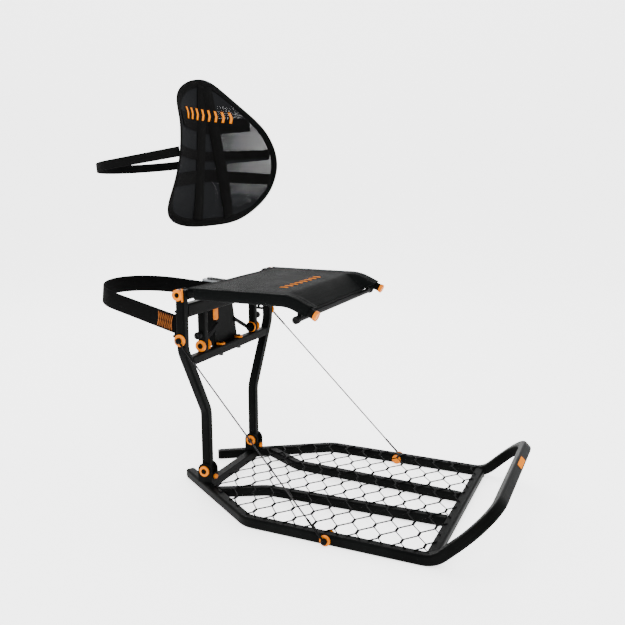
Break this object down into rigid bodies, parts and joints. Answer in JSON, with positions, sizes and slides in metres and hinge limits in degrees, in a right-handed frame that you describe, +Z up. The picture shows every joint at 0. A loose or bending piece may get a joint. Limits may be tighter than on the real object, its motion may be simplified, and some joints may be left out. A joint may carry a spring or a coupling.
{
  "type": "tree stand",
  "caption": "Strap-on tree stand: meshed fold-up platform with raised footrest, splayed twin posts, flip-up sling seat, support cables and a strapped mesh backrest.",
  "frame": {"origin": "on the axis of the tree trunk, level with the platform hinge axis", "axes": "+Z up along the trunk, -Y out from the trunk over the platform, +X to the sitter's left"},
  "size_m": [0.6178, 1.2364, 1.1315],
  "materials": {
    "powder_coat": "satin",
    "deck_coat": "satin",
    "orange_bushing": "matte",
    "orange_cap": "satin",
    "orange_print": "matte",
    "black_bolt": "satin",
    "black_plastic": "matte",
    "webbing": "matte",
    "stitched_patch": "matte",
    "buckle_steel": "brushed",
    "spool_steel": "brushed",
    "lever_coat": "satin",
    "seat_fabric": "matte",
    "mesh_fabric": "matte",
    "rim_fabric": "matte",
    "wire_rope": "brushed",
    "cable_sleeve": "matte"
  },
  "bodies": {
    "frame": {"post_left": "powder_coat", "post_right": "powder_coat", "lower_cross_tube": "powder_coat", "top_cross_tube": "powder_coat", "inner_bars": "powder_coat", "tree_bracket": "powder_coat", "brace_arms": "powder_coat", "frame_bushings": "orange_bushing", "frame_bolts": "black_bolt", "lock_knobs": "black_plastic", "release_tab": "orange_cap", "strap_hooks": "powder_coat", "trunk_strap": "webbing", "strap_stitching": "stitched_patch", "ratchet_frame": "buckle_steel"},
    "platform": {"side_rail_left": "powder_coat", "side_rail_right": "powder_coat", "footrest": "powder_coat", "rear_crossbar": "powder_coat", "centre_bar_left": "powder_coat", "centre_bar_right": "powder_coat", "front_crossbar": "powder_coat", "deck_mesh": "deck_coat", "hinge_brackets": "powder_coat", "hinge_pins": "black_bolt", "hinge_bushings": "orange_bushing", "deck_bumpers": "orange_bushing", "cable_pins": "orange_bushing", "tip_plugs": "black_plastic", "footrest_badge": "orange_print"},
    "seat": {"seat_rail_left": "powder_coat", "seat_rail_right": "powder_coat", "seat_rear_tube": "powder_coat", "seat_crossbar": "powder_coat", "crossbar_caps": "black_plastic", "seat_end_caps": "orange_cap", "seat_cheeks": "powder_coat", "seat_pivot_caps": "orange_cap", "seat_sling": "seat_fabric", "seat_badge": "orange_print"},
    "support_cable_left": {"cable_left": "wire_rope", "cable_left_ends": "cable_sleeve"},
    "support_cable_right": {"cable_right": "wire_rope", "cable_right_ends": "cable_sleeve"},
    "backrest": {"backrest_mesh": "mesh_fabric", "backrest_rim": "rim_fabric", "backrest_bands": "webbing", "backrest_badge": "orange_print", "backrest_strap": "webbing", "cam_buckle": "buckle_steel"},
    "buckle_lever": {"cam_lever": "lever_coat"},
    "ratchet_grip": {"ratchet_handle": "lever_coat"},
    "ratchet_shaft": {"ratchet_spool": "spool_steel"}
  },
  "joints": [
    {"name": "platform_fold", "type": "hinge", "parent": "frame", "child": "platform", "pos_m": [0, -0.236, 0], "axis": [-1, 0, 0], "range_deg": [0, 50]},
    {"name": "seat_flip", "type": "hinge", "parent": "frame", "child": "seat", "pos_m": [0, -0.236, 0.513], "axis": [-1, 0, 0], "range_deg": [0, 75]},
    {"name": "cable_swing_left", "type": "hinge", "parent": "platform", "child": "support_cable_left", "pos_m": [-0.3027, -0.663, -0.048], "axis": [1, 0, 0], "range_deg": [0, 22]},
    {"name": "cable_swing_right", "type": "hinge", "parent": "platform", "child": "support_cable_right", "pos_m": [0.3027, -0.663, -0.048], "axis": [1, 0, 0], "range_deg": [0, 22]},
    {"name": "backrest_height", "type": "slide", "parent": "frame", "child": "backrest", "axis": [0, 0, 1], "range_m": [-0.04, 0.15]},
    {"name": "buckle_open", "type": "hinge", "parent": "backrest", "child": "buckle_lever", "pos_m": [0.1953, -0.0504, 0.85049], "axis": [0, 0.1045, 0.9945], "range_deg": [0, 100]},
    {"name": "ratchet_grip_swing", "type": "hinge", "parent": "frame", "child": "ratchet_grip", "pos_m": [0.20194, -0.04558, 0.45338], "axis": [0, -0.1219, 0.9925], "range_deg": [0, 150]},
    {"name": "ratchet_shaft_turn", "type": "hinge", "parent": "frame", "child": "ratchet_shaft", "pos_m": [0.20194, -0.04558, 0.45338], "axis": [0, -0.1219, 0.9925], "continuous": true}
  ],
  "couplings": [
    {"joint": "cable_swing_left", "follows": "platform_fold", "ratio": 0.428},
    {"joint": "cable_swing_right", "follows": "platform_fold", "ratio": 0.428}
  ]
}
